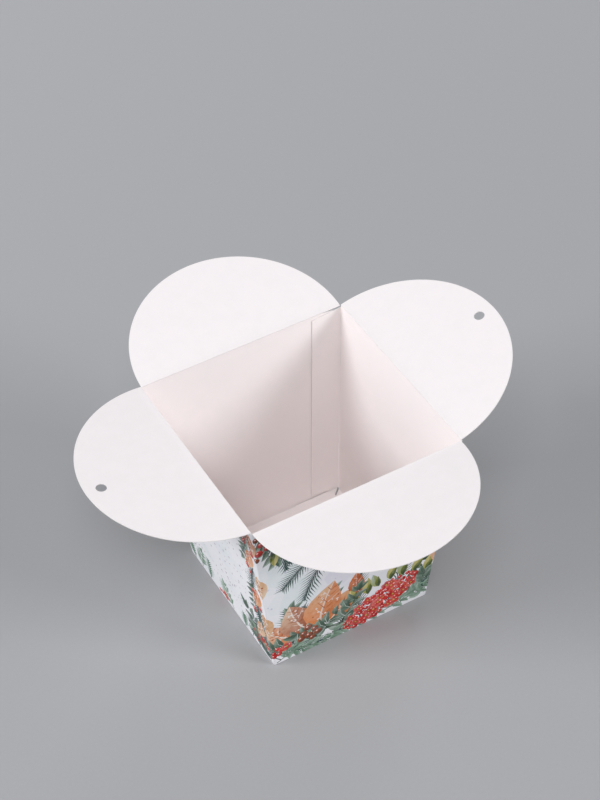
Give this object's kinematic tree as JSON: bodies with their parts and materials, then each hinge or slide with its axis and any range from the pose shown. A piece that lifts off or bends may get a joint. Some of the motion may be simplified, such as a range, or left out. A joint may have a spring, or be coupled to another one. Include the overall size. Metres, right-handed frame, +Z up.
{
  "type": "folded card candy box",
  "caption": "Open square card box, tapered downwards, with half-round petals that fold over its mouth and ribbon holes in two of them.",
  "frame": {"origin": "centre of the base, on the surface that the box stands on", "axes": "+Z up; the front wall faces -Y and the right wall +X; the right and left petals (+X and -X) have the ribbon holes"},
  "size_m": [0.1766, 0.1773, 0.1049],
  "materials": {
    "printed_card": "coated card, satin, printed outside and white inside",
    "petal_card": "coated card, satin, white inside and printed outside"
  },
  "bodies": {
    "box": {"body": "printed_card"},
    "front_petal": {"front_petal": "petal_card"},
    "right_petal": {"right_petal": "petal_card"},
    "back_petal": {"back_petal": "petal_card"},
    "left_petal": {"left_petal": "petal_card"}
  },
  "joints": [
    {"name": "front_petal_fold", "type": "hinge", "parent": "box", "child": "front_petal", "pos_m": [0, -0.04483, 0.09202], "axis": [-1, 0, 0], "range_deg": [-25, 175]},
    {"name": "right_petal_fold", "type": "hinge", "parent": "box", "child": "right_petal", "pos_m": [0.04487, 0, 0.09247], "axis": [0, -1, 0], "range_deg": [-36, 164]},
    {"name": "back_petal_fold", "type": "hinge", "parent": "box", "child": "back_petal", "pos_m": [0, 0.04483, 0.09202], "axis": [1, 0, 0], "range_deg": [-32.5, 167.5]},
    {"name": "left_petal_fold", "type": "hinge", "parent": "box", "child": "left_petal", "pos_m": [-0.04487, 0, 0.09247], "axis": [0, 1, 0], "range_deg": [-27, 173]}
  ]
}
